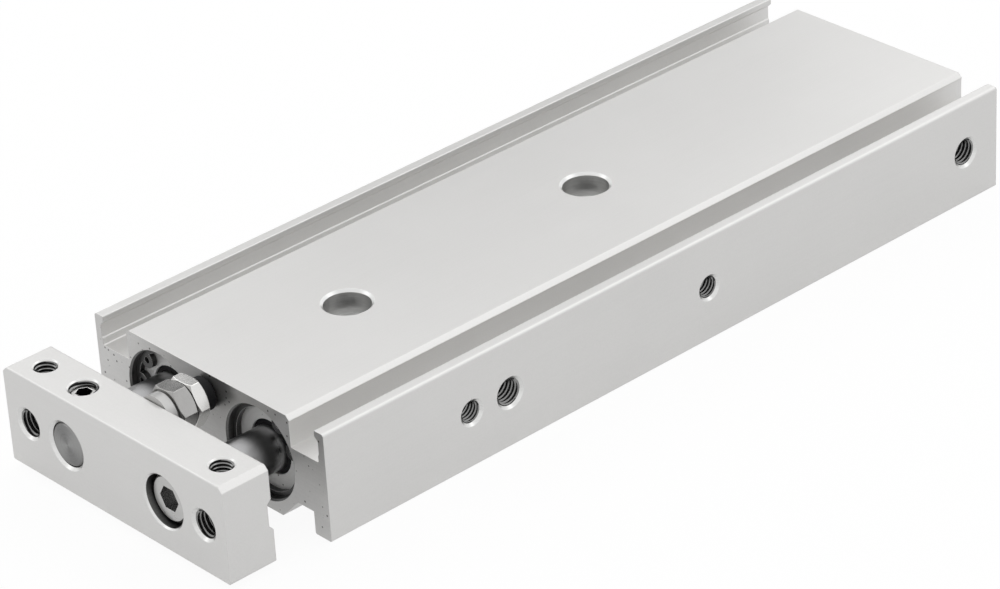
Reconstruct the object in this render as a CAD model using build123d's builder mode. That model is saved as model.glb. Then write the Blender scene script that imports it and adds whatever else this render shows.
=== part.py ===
from build123d import *
import math
import os

os.makedirs("parts", exist_ok=True)

# Twin rod pneumatic cylinder, in millimetres.
# +X is the width, +Y runs from the end plate to the rear of the housing, +Z is up.
# The origin is on the bottom face, midway between the two mounting holes.
# Depths in the bores are measured from the front face or from the rear face.

# Stroke and fits
stroke = 100.0
slide_fit = 0.03             # radial running clearance of a rod, a seal lip or a piston land
seat_fit = 0.02              # radial gap of a seated piece
end_gap = 0.5                # piston to cover at each end of the stroke
stop_gap = 0.2               # bumper pad to housing with the rods fully in

# Housing section
housing_width = 58.0
housing_height = 20.0
flange_thickness = 2.2       # at its lip
slot_opening = 6.1
slot_depth = 5.7
slot_lip_height = 1.0
block_lip = 0.1              # how far the top lip of the block stands over its wall
flange_undercut = 0.8        # how far the flange wall is cut back below its lip
ledge_rise = 1.5             # height of the stepped foot of the flange wall
ledge_step = 0.2
foot_thickness = 3.9
relief_depth = 4.2
relief_opening = 8.0
relief_slope = 4.2           # sideways run of the sloped wall of the relief channel
lip_chamfer = 0.8
flange_radius = 0.55
flange_lip_radius = 0.15
foot_radius = 0.3

# Bores
rod_pitch = 25.0
axis_height = housing_height / 2
bore_diameter = 15.0
mouth_diameter = 16.6
mouth_chamfer = 0.3

# Mounting holes, side threads and ports
mount_offset = 30.5          # first mounting hole from the front face
mount_pitch = 55.0
mount_diameter = 4.3
mount_counterbore = 8.2
mount_counterbore_depth = 4.5
mount_chamfer = 0.45
side_thread_offset = 31.2    # first side thread from the front face
side_thread_diameter = 4.0
side_thread_depth = 6.0
port_thread_diameter = 5.0
port_thread_depth = 5.0
air_hole_diameter = 2.2
thread_chamfer = 0.5

# Rod cover and front parts, depths from the front face
front_ring_depth = 1.3
ring_thickness = 1.0
ring_groove_width = 1.1
ring_groove_depth = 0.45
cover_flange_thickness = 3.2
cover_length = 35.6
cover_lip_diameter = 9.8
cover_lip_thickness = 0.8
seal_pocket_diameter = 12.0
seal_pocket_depth = 3.0
front_port_gap = 1.7         # end of the rod cover to the centre of the front port
oring_section = 1.3
oring_groove_width = 1.9
cover_oring_inset = 4.0      # O-ring groove centre from the inner end of the rod cover

# Head cover, depths from the rear face
rear_ring_depth = 1.1
head_flange_thickness = 1.8
head_land_length = 3.0
head_nose_length = 4.0
head_nose_diameter = 11.0
rear_port_gap = 1.25         # end of the head cover land to the centre of the rear port

# Piston
piston_length = 7.0
bumper_length = 3.0
bumper_outer = 12.0
piston_seal_width = 2.2
piston_seal_floor = 10.6
magnet_width = 2.4
magnet_floor = 9.0
magnet_outer = 13.6
piston_land = 0.8
spigot_diameter = 5.0
spigot_length = 5.5

# Rods and end plate
rod_diameter = 8.0
rod_chamfer = 0.4
plate_width = 56.0
plate_height = 18.0
plate_thickness = 9.4
plate_top_chamfer = 1.0
plate_bottom_chamfer = 0.4
plate_edge_radius = 0.3
plate_groove_depth = 0.8
plate_groove_height = 5.6
plate_groove_slope = 0.7
plate_thread_pitch = 45.0
plate_front_thread = 5.0
plate_side_thread = 4.0      # threads in the top and bottom of the plate
plate_side_thread_depth = 6.0
plate_side_chamfer = 0.25
rod_end_recess = 0.3
rod_pilot_depth = 1.0        # how far the right rod enters the back of the plate
rod_hole_chamfer = 0.5

# Screws
cap_screw_diameter = 5.0
cap_head_diameter = 8.5
cap_head_height = 5.0
cap_socket = 4.0
cap_recess = 1.2
cap_counterbore = 9.4
cap_counterbore_chamfer = 0.3
cap_screw_grip = 8.0         # thread length in the rod
set_screw_diameter = 5.0
set_screw_recess = 0.9
set_screw_socket = 2.5
plug_length = 4.0
plug_recess = 0.6
plug_socket = 2.5

# Bumper bolt, from the plate towards the housing
bolt_height = 16.4           # its axis above the bottom face
bolt_diameter = 4.0
bolt_thread_depth = 7.0
washer_diameter = 7.4
washer_thickness = 2.1
washer_chamfer = 0.3
nut_flats = 8.0
nut_thickness = 3.2
nut_turn = 6.0               # turned from a flat on top, anticlockwise seen from the front
bolt_head_thickness = 2.3
head_turn = 1.0
nut_gap = 0.2                # lock nut to bolt head
pad_diameter = 6.0
pad_thickness = 2.6
pad_stem_diameter = 3.0
pad_stem_length = 1.4

# Circlip ears
ring_band = 1.25
ring_gap_half_angle = 9.0
ear_radius = 1.5
ear_hole_diameter = 1.2
ear_centre_inset = 1.85      # ear hole centre inside the groove radius
ear_angles = {"left": 158.0, "right": 38.0}

# Worked out from the above
half_width = housing_width / 2
half_pitch = rod_pitch / 2
mouth_radius = mouth_diameter / 2
bore_radius = bore_diameter / 2
plate_gap = (washer_thickness + nut_thickness + nut_gap + bolt_head_thickness
             + pad_thickness + stop_gap)
cover_start = front_ring_depth + ring_groove_width
cover_end = cover_start + cover_length
mouth_depth = cover_start + cover_flange_thickness
head_start = rear_ring_depth + ring_groove_width
rear_mouth_depth = head_start + head_flange_thickness
head_end = rear_mouth_depth + head_land_length + head_nose_length
piston_start = cover_end + end_gap + stroke
piston_end = piston_start + bumper_length + piston_length
housing_length = piston_end + end_gap + head_end
front_y = -(mount_offset + mount_pitch / 2)
rear_y = front_y + housing_length
plate_back_y = front_y - plate_gap
plate_front_y = plate_back_y - plate_thickness
plate_middle_y = plate_back_y - plate_thickness / 2
plate_top = axis_height + plate_height / 2
plate_bottom = axis_height - plate_height / 2
front_port_y = front_y + cover_end + front_port_gap
rear_port_y = rear_y - (rear_mouth_depth + head_land_length + rear_port_gap)
ring_groove_radius = mouth_radius + ring_groove_depth
sides = {"left": -1, "right": 1}


def facing_front(depth):
    # Plane at a depth behind the front face, seen from the front, with X to the right and Z up.
    return Plane(origin=(0, front_y + depth, 0), x_dir=(1, 0, 0), z_dir=(0, -1, 0))


def facing_rear(depth):
    # Plane at a depth ahead of the rear face, seen from the rear, with Z up.
    return Plane(origin=(0, rear_y - depth, 0), x_dir=(-1, 0, 0), z_dir=(0, 1, 0))


def bore_axis(side, y):
    # Plane through a bore axis whose local Y runs along +Y from the given y, for revolved pieces.
    return Plane(origin=(side * half_pitch, y, axis_height), x_dir=(1, 0, 0), z_dir=(0, 0, 1))


def side_face(side):
    # Plane on a side face of the housing, local Y up, normal pointing out.
    return Plane(origin=(side * half_width, 0, 0), x_dir=(0, side, 0), z_dir=(side, 0, 0))


def revolved(plane, outline):
    # Turned piece from an outline of radius and length pairs.
    with BuildPart() as turned:
        with BuildSketch(plane):
            with BuildLine():
                Polyline(*outline, close=True)
            make_face()
        revolve(axis=Axis(plane.origin, plane.y_dir))
    return turned.part


def drilled(plane, points, diameter, depth, mouth_chamfer_size):
    # Blind drilled holes with chamfered mouths, as one tool to cut away. Depth runs against the normal.
    radius = diameter / 2
    with BuildPart() as tool:
        with BuildSketch(plane):
            with Locations(*points):
                Circle(radius)
        extrude(amount=-depth)
        if mouth_chamfer_size > 0:
            with BuildSketch(plane) as mouth:
                with Locations(*points):
                    Circle(radius + mouth_chamfer_size)
            extrude(mouth.sketch, amount=-mouth_chamfer_size, taper=45)
    return tool.part


# Housing
block_half = half_width - flange_thickness - slot_opening
slot_floor = housing_height - slot_depth
lip_under = housing_height - slot_lip_height
ledge_top = slot_floor + ledge_rise
flange_inner = half_width - flange_thickness
flange_wall = flange_inner + flange_undercut
foot_inner = half_width - foot_thickness
block_foot = foot_inner - relief_opening
mount_points = [(0, -mount_pitch / 2), (0, mount_pitch / 2)]

with BuildPart() as housing:
    with BuildSketch(facing_front(0)) as section:
        with BuildLine() as half_outline:
            Polyline(
                (0, 0),
                (block_foot, 0),
                (block_foot + relief_slope, relief_depth),
                (foot_inner, relief_depth),
                (foot_inner, 0),
                (half_width, 0),
                (half_width, housing_height),
                (flange_inner, housing_height),
                (flange_inner, lip_under),
                (flange_wall, lip_under - flange_undercut),
                (flange_wall, ledge_top),
                (flange_wall - ledge_step, ledge_top - ledge_step),
                (flange_wall - ledge_step, slot_floor + ledge_step),
                (flange_wall - 2 * ledge_step, slot_floor),
                (block_half - block_lip, slot_floor),
                (block_half - block_lip, lip_under - block_lip),
                (block_half, lip_under),
                (block_half, housing_height),
                (0, housing_height),
            )
            mirror(about=Plane.YZ)
        make_face()
        corners = section.vertices()
        chamfer(corners.filter_by(lambda v: v.Y > lip_under + seat_fit
                                  and abs(abs(v.X) - block_half) < seat_fit), lip_chamfer)
        fillet(section.vertices().filter_by(lambda v: v.Y > lip_under + seat_fit
                                            and abs(v.X) > half_width - seat_fit), flange_radius)
        fillet(section.vertices().filter_by(lambda v: v.Y > lip_under + seat_fit
                                            and abs(abs(v.X) - flange_inner) < seat_fit), flange_lip_radius)
        fillet(section.vertices().filter_by(lambda v: v.Y < relief_depth - foot_radius
                                            and abs(v.X) > seat_fit), foot_radius)
    extrude(amount=-housing_length)

    # Stepped bores, open at both ends
    with BuildSketch(facing_front(0)):
        with Locations((-half_pitch, axis_height), (half_pitch, axis_height)):
            Circle(bore_radius)
    extrude(amount=-housing_length, mode=Mode.SUBTRACT)
    for end_plane, depth, ring_depth in (
        (facing_front(0), mouth_depth, front_ring_depth),
        (facing_rear(0), rear_mouth_depth, rear_ring_depth),
    ):
        add(drilled(end_plane, [(-half_pitch, axis_height), (half_pitch, axis_height)],
                    mouth_diameter, depth, mouth_chamfer), mode=Mode.SUBTRACT)
        with BuildSketch(end_plane.offset(-ring_depth)):
            with Locations((-half_pitch, axis_height), (half_pitch, axis_height)):
                Circle(ring_groove_radius)
        extrude(amount=-ring_groove_width, mode=Mode.SUBTRACT)

    # Mounting holes, counterbored from above and from below
    with BuildSketch(Plane.XY):
        with Locations(*mount_points):
            Circle(mount_diameter / 2)
    extrude(amount=housing_height, mode=Mode.SUBTRACT)
    for face_plane in (Plane.XY.offset(housing_height), -Plane.XY):
        points = [(x, y * face_plane.z_dir.Z) for x, y in mount_points]
        add(drilled(face_plane, points, mount_counterbore, mount_counterbore_depth, mount_chamfer),
            mode=Mode.SUBTRACT)

    # Side threads, ports and the air holes that join both bores
    for side in sides.values():
        first_thread_y = front_y + side_thread_offset
        thread_points = [(side * first_thread_y, axis_height),
                         (side * (first_thread_y + mount_pitch), axis_height)]
        add(drilled(side_face(side), thread_points, side_thread_diameter, side_thread_depth,
                    thread_chamfer), mode=Mode.SUBTRACT)
        port_points = [(side * front_port_y, axis_height), (side * rear_port_y, axis_height)]
        add(drilled(side_face(side), port_points, port_thread_diameter, port_thread_depth,
                    thread_chamfer), mode=Mode.SUBTRACT)
    with BuildSketch(side_face(1)):
        with Locations((front_port_y, axis_height), (rear_port_y, axis_height)):
            Circle(air_hole_diameter / 2)
    extrude(amount=-housing_width, mode=Mode.SUBTRACT)
housing.part.label = "housing"
export_step(housing.part, "parts/housing.step")


# Turned and ring pieces of each bore
def rod_cover(side):
    lip = cover_lip_diameter / 2
    pocket = seal_pocket_diameter / 2
    pocket_end = cover_lip_thickness + seal_pocket_depth
    bearing = rod_diameter / 2 + slide_fit
    barrel = bore_radius - seat_fit
    flange = mouth_radius - seat_fit
    groove = bore_radius - oring_section
    groove_start = cover_length - cover_oring_inset - oring_groove_width / 2
    groove_end = groove_start + oring_groove_width
    return revolved(bore_axis(side, front_y + cover_start), [
        (lip, 0), (flange, 0), (flange, cover_flange_thickness - seat_fit),
        (barrel, cover_flange_thickness - seat_fit), (barrel, groove_start), (groove, groove_start),
        (groove, groove_end), (barrel, groove_end), (barrel, cover_length), (bearing, cover_length),
        (bearing, pocket_end), (pocket, pocket_end), (pocket, cover_lip_thickness),
        (lip, cover_lip_thickness),
    ])


def rod_seal(side):
    pocket = seal_pocket_diameter / 2 - seat_fit
    lip = cover_lip_diameter / 2 - seat_fit
    inner = rod_diameter / 2 + slide_fit
    body_start = cover_lip_thickness + seat_fit
    body_end = cover_lip_thickness + seal_pocket_depth - seat_fit
    return revolved(bore_axis(side, front_y + cover_start), [
        (inner, seat_fit), (lip, cover_lip_thickness / 2), (lip, body_start), (pocket, body_start),
        (pocket, body_end), (inner, body_end),
    ])


def o_ring(side, y):
    # Ring seated in its groove, with a six-sided section in place of the round one.
    section_radius = oring_section / 2 - seat_fit
    centre_radius = bore_radius - oring_section / 2
    plane = bore_axis(side, y)
    with BuildPart() as ring:
        with BuildSketch(plane):
            with Locations((centre_radius, 0)):
                RegularPolygon(section_radius, 6, major_radius=False, rotation=30)
        revolve(axis=Axis(plane.origin, plane.y_dir))
    return ring.part


def circlip(plane, centre, angle):
    # Internal retaining ring with two drilled ears beside its gap.
    outer = ring_groove_radius - 2 * seat_fit
    inner = outer - ring_band
    ear_orbit = ring_groove_radius - ear_centre_inset
    reach = 2 * outer
    gap_edges = [(reach * math.cos(math.radians(a)), reach * math.sin(math.radians(a)))
                 for a in (angle - ring_gap_half_angle, angle + ring_gap_half_angle)]
    ear_half = ring_gap_half_angle + math.degrees(ear_radius / ear_orbit)
    with BuildPart() as ring:
        with BuildSketch(plane):
            with Locations(centre):
                Circle(outer)
                Circle(inner, mode=Mode.SUBTRACT)
                with BuildLine():
                    Polyline((0, 0), gap_edges[0], gap_edges[1], close=True)
                make_face(mode=Mode.SUBTRACT)
                with PolarLocations(ear_orbit, 2, start_angle=angle - ear_half,
                                    angular_range=4 * ear_half):
                    Circle(ear_radius)
                with PolarLocations(ear_orbit, 2, start_angle=angle - ear_half,
                                    angular_range=4 * ear_half):
                    Circle(ear_hole_diameter / 2, mode=Mode.SUBTRACT)
        extrude(amount=-ring_thickness)
    return ring.part


def head_cover(side):
    flange = mouth_radius - seat_fit
    barrel = bore_radius - seat_fit
    groove = bore_radius - oring_section
    nose = head_nose_diameter / 2
    total = head_flange_thickness + head_land_length + head_nose_length
    groove_start = head_nose_length + (head_land_length - oring_groove_width) / 2
    groove_end = groove_start + oring_groove_width
    shoulder = head_nose_length + head_land_length
    return revolved(bore_axis(side, rear_y - head_end), [
        (0, 0), (nose - rod_chamfer, 0), (nose, rod_chamfer), (nose, head_nose_length),
        (barrel, head_nose_length), (barrel, groove_start), (groove, groove_start),
        (groove, groove_end), (barrel, groove_end), (barrel, shoulder + seat_fit),
        (flange, shoulder + seat_fit), (flange, total), (0, total),
    ])


for name, side in sides.items():
    cover_oring_y = front_y + cover_end - cover_oring_inset
    head_oring_y = rear_y - rear_mouth_depth - head_land_length / 2
    fixed_pieces = {
        "rod_cover": rod_cover(side),
        "rod_seal": rod_seal(side),
        "rod_cover_oring": o_ring(side, cover_oring_y),
        "front_circlip": circlip(facing_front(front_ring_depth + seat_fit),
                                 (side * half_pitch, axis_height), ear_angles[name]),
        "head_cover": head_cover(side),
        "head_cover_oring": o_ring(side, head_oring_y),
        "rear_circlip": circlip(facing_rear(rear_ring_depth + seat_fit),
                                (-side * half_pitch, axis_height), 90),
    }
    for piece_name, piece in fixed_pieces.items():
        piece.label = piece_name + "_" + name
        export_step(piece, "parts/" + piece.label + ".step")


# Port plugs on the left side
def socket_screw(plane, centre, diameter, length, socket, socket_depth):
    # Headless screw that runs down from its plane, with a hexagon socket in its outer end.
    with BuildPart() as screw:
        with BuildSketch(plane):
            with Locations(centre):
                Circle(diameter / 2 - seat_fit)
        extrude(amount=-length)
        chamfer(screw.edges().filter_by(GeomType.CIRCLE), rod_chamfer)
        with BuildSketch(plane):
            with Locations(centre):
                RegularPolygon(socket / 2, 6, major_radius=False)
        extrude(amount=-socket_depth, mode=Mode.SUBTRACT)
    return screw.part


for end_name, port_y in (("front", front_port_y), ("rear", rear_port_y)):
    plug = socket_screw(side_face(-1).offset(-plug_recess), (-port_y, axis_height),
                        port_thread_diameter, plug_length, plug_socket, plug_length / 2)
    plug.label = "port_plug_" + end_name
    export_step(plug, "parts/" + plug.label + ".step")


# End plate
plate_back = Plane(origin=(0, plate_back_y, 0), x_dir=(-1, 0, 0), z_dir=(0, 1, 0))
plate_front = Plane(origin=(0, plate_front_y, 0), x_dir=(1, 0, 0), z_dir=(0, -1, 0))
cap_counterbore_depth = cap_recess + cap_head_height
with BuildPart() as end_plate:
    with BuildSketch(plate_front):
        with Locations((0, axis_height)):
            Rectangle(plate_width, plate_height)
    extrude(amount=-plate_thickness)
    for end_height, end_chamfer in ((0, plate_bottom_chamfer), (-1, plate_top_chamfer)):
        end_edges = end_plate.faces().filter_by(Axis.X).edges().filter_by(Axis.Y)
        chamfer(end_edges.group_by(Axis.Z)[end_height], end_chamfer)
    fillet(end_plate.edges().filter_by(Axis.X), plate_edge_radius)

    # Shallow groove with sloped sides along the back
    with BuildSketch(Plane.YZ.offset(-plate_width / 2)):
        with BuildLine():
            groove_low = axis_height - plate_groove_height / 2
            groove_high = axis_height + plate_groove_height / 2
            groove_y = plate_back_y - plate_groove_depth
            Polyline(
                (plate_back_y, groove_low),
                (groove_y, groove_low + plate_groove_slope),
                (groove_y, groove_high - plate_groove_slope),
                (plate_back_y, groove_high),
                close=True,
            )
        make_face()
    extrude(amount=plate_width, mode=Mode.SUBTRACT)

    # Left rod passes through, right rod enters a pilot with a cap screw behind it
    with BuildSketch(plate_front):
        with Locations((-half_pitch, axis_height)):
            Circle(rod_diameter / 2 + seat_fit)
    extrude(amount=-plate_thickness, mode=Mode.SUBTRACT)
    with BuildSketch(plate_back):
        with Locations((-half_pitch, axis_height)):
            Circle(rod_diameter / 2 + seat_fit)
    extrude(amount=-rod_pilot_depth, mode=Mode.SUBTRACT)
    add(drilled(plate_front, [(-half_pitch, axis_height)], rod_diameter + 2 * seat_fit,
                rod_pilot_depth, rod_hole_chamfer), mode=Mode.SUBTRACT)
    add(drilled(plate_front, [(half_pitch, axis_height)], cap_counterbore, cap_counterbore_depth,
                cap_counterbore_chamfer), mode=Mode.SUBTRACT)
    add(drilled(plate_front, [(half_pitch, axis_height)], cap_screw_diameter + 10 * seat_fit,
                plate_thickness, 0), mode=Mode.SUBTRACT)

    # Threads: two through the plate, two above, two below, the set screw and the bumper bolt
    half_threads = plate_thread_pitch / 2
    add(drilled(plate_front, [(-half_threads, axis_height), (half_threads, axis_height)],
                plate_front_thread, plate_thickness, thread_chamfer), mode=Mode.SUBTRACT)
    for face_plane in (Plane.XY.offset(plate_top), -Plane.XY.offset(plate_bottom)):
        local_y = plate_middle_y * face_plane.z_dir.Z
        add(drilled(face_plane, [(-half_threads, local_y), (half_threads, local_y)],
                    plate_side_thread, plate_side_thread_depth, plate_side_chamfer),
            mode=Mode.SUBTRACT)
    add(drilled(Plane.XY.offset(plate_top), [(-half_pitch, plate_middle_y)], set_screw_diameter,
                plate_height / 2, plate_side_chamfer), mode=Mode.SUBTRACT)
    add(drilled(plate_back, [(0, bolt_height)], bolt_diameter, bolt_thread_depth + stop_gap, 0),
        mode=Mode.SUBTRACT)
end_plate.part.label = "end_plate"
export_step(end_plate.part, "parts/end_plate.step")


# Piston rods and pistons
def piston_rod(side, front):
    radius = rod_diameter / 2
    spigot = spigot_diameter / 2
    shoulder = front_y + piston_start + bumper_length - front
    end = shoulder + spigot_length
    outline = [
        (0, 0), (radius - rod_chamfer, 0), (radius, rod_chamfer), (radius, shoulder),
        (spigot, shoulder), (spigot, end), (0, end),
    ]
    if side > 0:
        screw = cap_screw_diameter / 2
        outline = [(screw, 0)] + outline[1:] + [(0, cap_screw_grip + end_gap),
                                                (screw, cap_screw_grip + end_gap)]
    return revolved(bore_axis(side, front), outline)


def piston(side):
    land = bore_radius - slide_fit
    seal = piston_seal_floor / 2
    magnet = magnet_floor / 2
    seal_start = piston_land
    seal_end = seal_start + piston_seal_width
    magnet_start = seal_end + piston_land
    magnet_end = magnet_start + magnet_width
    hole = spigot_diameter / 2 + seat_fit
    depth = spigot_length + seat_fit
    return revolved(bore_axis(side, front_y + piston_start + bumper_length), [
        (hole, 0), (land, 0), (land, seal_start), (seal, seal_start), (seal, seal_end),
        (land, seal_end), (land, magnet_start), (magnet, magnet_start), (magnet, magnet_end),
        (land, magnet_end), (land, piston_length), (0, piston_length), (0, depth), (hole, depth),
    ])


def piston_seal(side):
    start = piston_land + seat_fit
    end = piston_land + piston_seal_width - seat_fit
    inner = piston_seal_floor / 2 + seat_fit
    outer = bore_radius - slide_fit
    return revolved(bore_axis(side, front_y + piston_start + bumper_length), [
        (inner, start), (outer, start), (outer, end), (inner, end),
    ])


def magnet(side):
    start = 2 * piston_land + piston_seal_width + seat_fit
    end = start + magnet_width - 2 * seat_fit
    inner = magnet_floor / 2 + seat_fit
    outer = magnet_outer / 2
    return revolved(bore_axis(side, front_y + piston_start + bumper_length), [
        (inner, start), (outer, start), (outer, end), (inner, end),
    ])


def piston_bumper(side):
    inner = rod_diameter / 2 + seat_fit
    outer = bumper_outer / 2
    return revolved(bore_axis(side, front_y + piston_start), [
        (inner, 0), (outer - rod_chamfer, 0), (outer, rod_chamfer), (outer, bumper_length - seat_fit),
        (inner, bumper_length - seat_fit),
    ])


rod_fronts = {"left": plate_front_y + rod_end_recess, "right": plate_back_y - rod_pilot_depth + seat_fit}
for name, side in sides.items():
    moving_pieces = {
        "piston_rod": piston_rod(side, rod_fronts[name]),
        "piston": piston(side),
        "piston_seal": piston_seal(side),
        "magnet": magnet(side),
        "piston_bumper": piston_bumper(side),
    }
    for piece_name, piece in moving_pieces.items():
        piece.label = piece_name + "_" + name
        export_step(piece, "parts/" + piece.label + ".step")


# Cap screw that holds the right rod
cap_top_y = plate_front_y + cap_recess
cap_seat_y = cap_top_y + cap_head_height - seat_fit
cap_top = Plane(origin=(0, cap_top_y, 0), x_dir=(1, 0, 0), z_dir=(0, -1, 0))
with BuildPart() as plate_cap_screw:
    with BuildSketch(cap_top):
        with Locations((half_pitch, axis_height)):
            Circle(cap_head_diameter / 2)
    extrude(amount=-(cap_seat_y - cap_top_y))
    chamfer(plate_cap_screw.edges().group_by(Axis.Y)[0], rod_chamfer)
    with BuildSketch(cap_top):
        with Locations((half_pitch, axis_height)):
            Circle(cap_screw_diameter / 2 - seat_fit)
    extrude(amount=-(rod_fronts["right"] + cap_screw_grip - cap_top_y))
    with BuildSketch(cap_top):
        with Locations((half_pitch, axis_height)):
            RegularPolygon(cap_socket / 2, 6, major_radius=False)
    extrude(amount=-cap_head_height / 2, mode=Mode.SUBTRACT)
plate_cap_screw.part.label = "plate_cap_screw"
export_step(plate_cap_screw.part, "parts/plate_cap_screw.step")

# Set screw that clamps the left rod from above
rod_top = axis_height + rod_diameter / 2
set_screw_top = plate_top - set_screw_recess
plate_set_screw = socket_screw(Plane.XY.offset(set_screw_top), (-half_pitch, plate_middle_y),
                               set_screw_diameter, set_screw_top - rod_top - seat_fit,
                               set_screw_socket, (set_screw_top - rod_top) / 2)
plate_set_screw.label = "plate_set_screw"
export_step(plate_set_screw, "parts/plate_set_screw.step")


# Bumper bolt stack
def hexagon_with_round_chamfer(front, thickness, turn):
    # Hexagon prism whose corners are cut by a cone at both ends, with the front at y = front.
    corner = nut_flats / math.sqrt(3)
    crown = nut_flats / 2 - seat_fit
    fall = (corner - crown) * math.tan(math.radians(30))
    with BuildPart() as blank:
        with BuildSketch(Plane(origin=(0, front, 0), x_dir=(1, 0, 0), z_dir=(0, 1, 0))):
            with Locations(Location((0, -bolt_height), -turn)):
                RegularPolygon(nut_flats / 2, 6, major_radius=False)
        extrude(amount=thickness)
        cone_plane = Plane(origin=(0, front, bolt_height), x_dir=(1, 0, 0), z_dir=(0, 0, 1))
        with BuildSketch(cone_plane):
            with BuildLine():
                Polyline(
                    (0, 0), (crown, 0), (corner, fall), (corner, thickness - fall),
                    (crown, thickness), (0, thickness), close=True,
                )
            make_face()
        revolve(axis=Axis(cone_plane.origin, (0, 1, 0)), mode=Mode.INTERSECT)
    return blank.part


washer_y = plate_back_y
nut_y = washer_y + washer_thickness
bolt_head_y = nut_y + nut_thickness + nut_gap
pad_y = bolt_head_y + bolt_head_thickness
bolt_plane = Plane(origin=(0, washer_y, bolt_height), x_dir=(1, 0, 0), z_dir=(0, 1, 0))
clear_hole = bolt_diameter / 2 + seat_fit

with BuildPart() as bumper_washer:
    with BuildSketch(bolt_plane):
        Circle(washer_diameter / 2)
        Circle(clear_hole, mode=Mode.SUBTRACT)
    extrude(amount=washer_thickness - seat_fit)
    chamfer(bumper_washer.edges().group_by(Axis.Y)[-1].sort_by(SortBy.RADIUS)[-1], washer_chamfer)
bumper_washer.part.label = "bumper_washer"
export_step(bumper_washer.part, "parts/bumper_washer.step")

with BuildPart() as bumper_lock_nut:
    add(hexagon_with_round_chamfer(nut_y, nut_thickness, nut_turn))
    with BuildSketch(bolt_plane):
        Circle(clear_hole)
    extrude(amount=plate_gap, mode=Mode.SUBTRACT)
bumper_lock_nut.part.label = "bumper_lock_nut"
export_step(bumper_lock_nut.part, "parts/bumper_lock_nut.step")

with BuildPart() as bumper_bolt:
    add(hexagon_with_round_chamfer(bolt_head_y, bolt_head_thickness, head_turn))
    with BuildSketch(bolt_plane.offset(-bolt_thread_depth)):
        Circle(bolt_diameter / 2 - seat_fit)
    extrude(amount=bolt_thread_depth + bolt_head_y - washer_y)
    with BuildSketch(bolt_plane.offset(pad_y - washer_y)):
        Circle(pad_stem_diameter / 2 + seat_fit)
    extrude(amount=-(pad_stem_length + seat_fit), mode=Mode.SUBTRACT)
bumper_bolt.part.label = "bumper_bolt"
export_step(bumper_bolt.part, "parts/bumper_bolt.step")

with BuildPart() as bumper_pad:
    with BuildSketch(bolt_plane.offset(pad_y - washer_y + seat_fit)):
        Circle(pad_diameter / 2)
    extrude(amount=pad_thickness - seat_fit)
    chamfer(bumper_pad.edges().group_by(Axis.Y)[-1], rod_chamfer)
    with BuildSketch(bolt_plane.offset(pad_y - washer_y + seat_fit)):
        Circle(pad_stem_diameter / 2)
    extrude(amount=-pad_stem_length)
bumper_pad.part.label = "bumper_pad"
export_step(bumper_pad.part, "parts/bumper_pad.step")
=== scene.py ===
import math
import bmesh
import bpy
from mathutils import Matrix, Vector


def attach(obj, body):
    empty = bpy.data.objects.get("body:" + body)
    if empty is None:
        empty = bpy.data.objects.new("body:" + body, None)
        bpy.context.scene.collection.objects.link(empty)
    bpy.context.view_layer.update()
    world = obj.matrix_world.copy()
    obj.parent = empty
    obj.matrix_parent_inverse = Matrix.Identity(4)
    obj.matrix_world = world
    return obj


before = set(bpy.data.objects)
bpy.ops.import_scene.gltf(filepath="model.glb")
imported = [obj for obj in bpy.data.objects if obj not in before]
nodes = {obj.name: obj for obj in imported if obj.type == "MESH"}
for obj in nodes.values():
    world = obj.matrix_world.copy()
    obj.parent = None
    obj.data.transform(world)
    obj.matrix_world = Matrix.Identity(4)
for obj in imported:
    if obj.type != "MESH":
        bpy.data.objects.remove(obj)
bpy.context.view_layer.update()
mm = 0.001
print("frame loaded:", len(nodes), "nodes")


# camera, floor and light
photoView = {
    "target": (3.924, 2.794, 10.0),   # mm
    "azimuth": 48.628,
    "elevation": 29.554,
    "roll": -3.420,
    "distance": 699.37,               # mm
    "focalPixels": 4104.1,
    "imageWidth": 1000.0,
    "sensorWidth": 36.0,
    "clipFrom": 0.01,                 # m
    "clipTo": 20,                     # m
}


def placeCamera(view):
    azimuth, elevation, roll = (math.radians(view[key]) for key in ("azimuth", "elevation", "roll"))
    back = Vector((math.sin(azimuth) * math.cos(elevation),
                   -math.cos(azimuth) * math.cos(elevation), math.sin(elevation)))
    levelRight = Vector((math.cos(azimuth), math.sin(azimuth), 0))
    levelUp = back.cross(levelRight)
    right = math.cos(roll) * levelRight + math.sin(roll) * levelUp
    up = back.cross(right)
    place = (Vector(view["target"]) + back * view["distance"]) * mm
    data = bpy.data.cameras.new("photoCamera")
    data.sensor_width = view["sensorWidth"]
    data.lens = view["focalPixels"] * view["sensorWidth"] / view["imageWidth"]
    data.clip_start = view["clipFrom"]
    data.clip_end = view["clipTo"]
    camera = bpy.data.objects.new("photoCamera", data)
    turn = Matrix((right, up, back)).transposed().to_4x4()
    camera.matrix_world = Matrix.Translation(place) @ turn
    bpy.context.collection.objects.link(camera)
    bpy.context.scene.camera = camera


placeCamera(photoView)
bpy.context.scene.view_settings.view_transform = "Standard"

lamps = {
    # direction from the object, distance and size in metres, power in watts
    "overheadBox": {
        "from": (-0.52, 0.57, 0.78), "distance": 1.6,
        "size": (2.6, 2.6), "power": 8.0,
    },
    "rearRightBox": {
        "from": (0.45, 0.53, 0.72), "distance": 0.85,
        "size": (0.42, 0.42), "power": 0.32,
    },
    "frontLeftBox": {
        "from": (-0.66, -0.50, 0.58), "distance": 0.85,
        "size": (0.36, 0.36), "power": 0.26,
    },
}


def placeLamp(name, look):
    data = bpy.data.lights.new(name, "AREA")
    data.shape = "RECTANGLE"
    data.size, data.size_y = look["size"]
    data.energy = look["power"]
    lamp = bpy.data.objects.new(name, data)
    direction = Vector(look["from"]).normalized()
    lamp.location = direction * look["distance"]
    lamp.rotation_euler = direction.to_track_quat("Z", "Y").to_euler()
    bpy.context.collection.objects.link(lamp)


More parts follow.
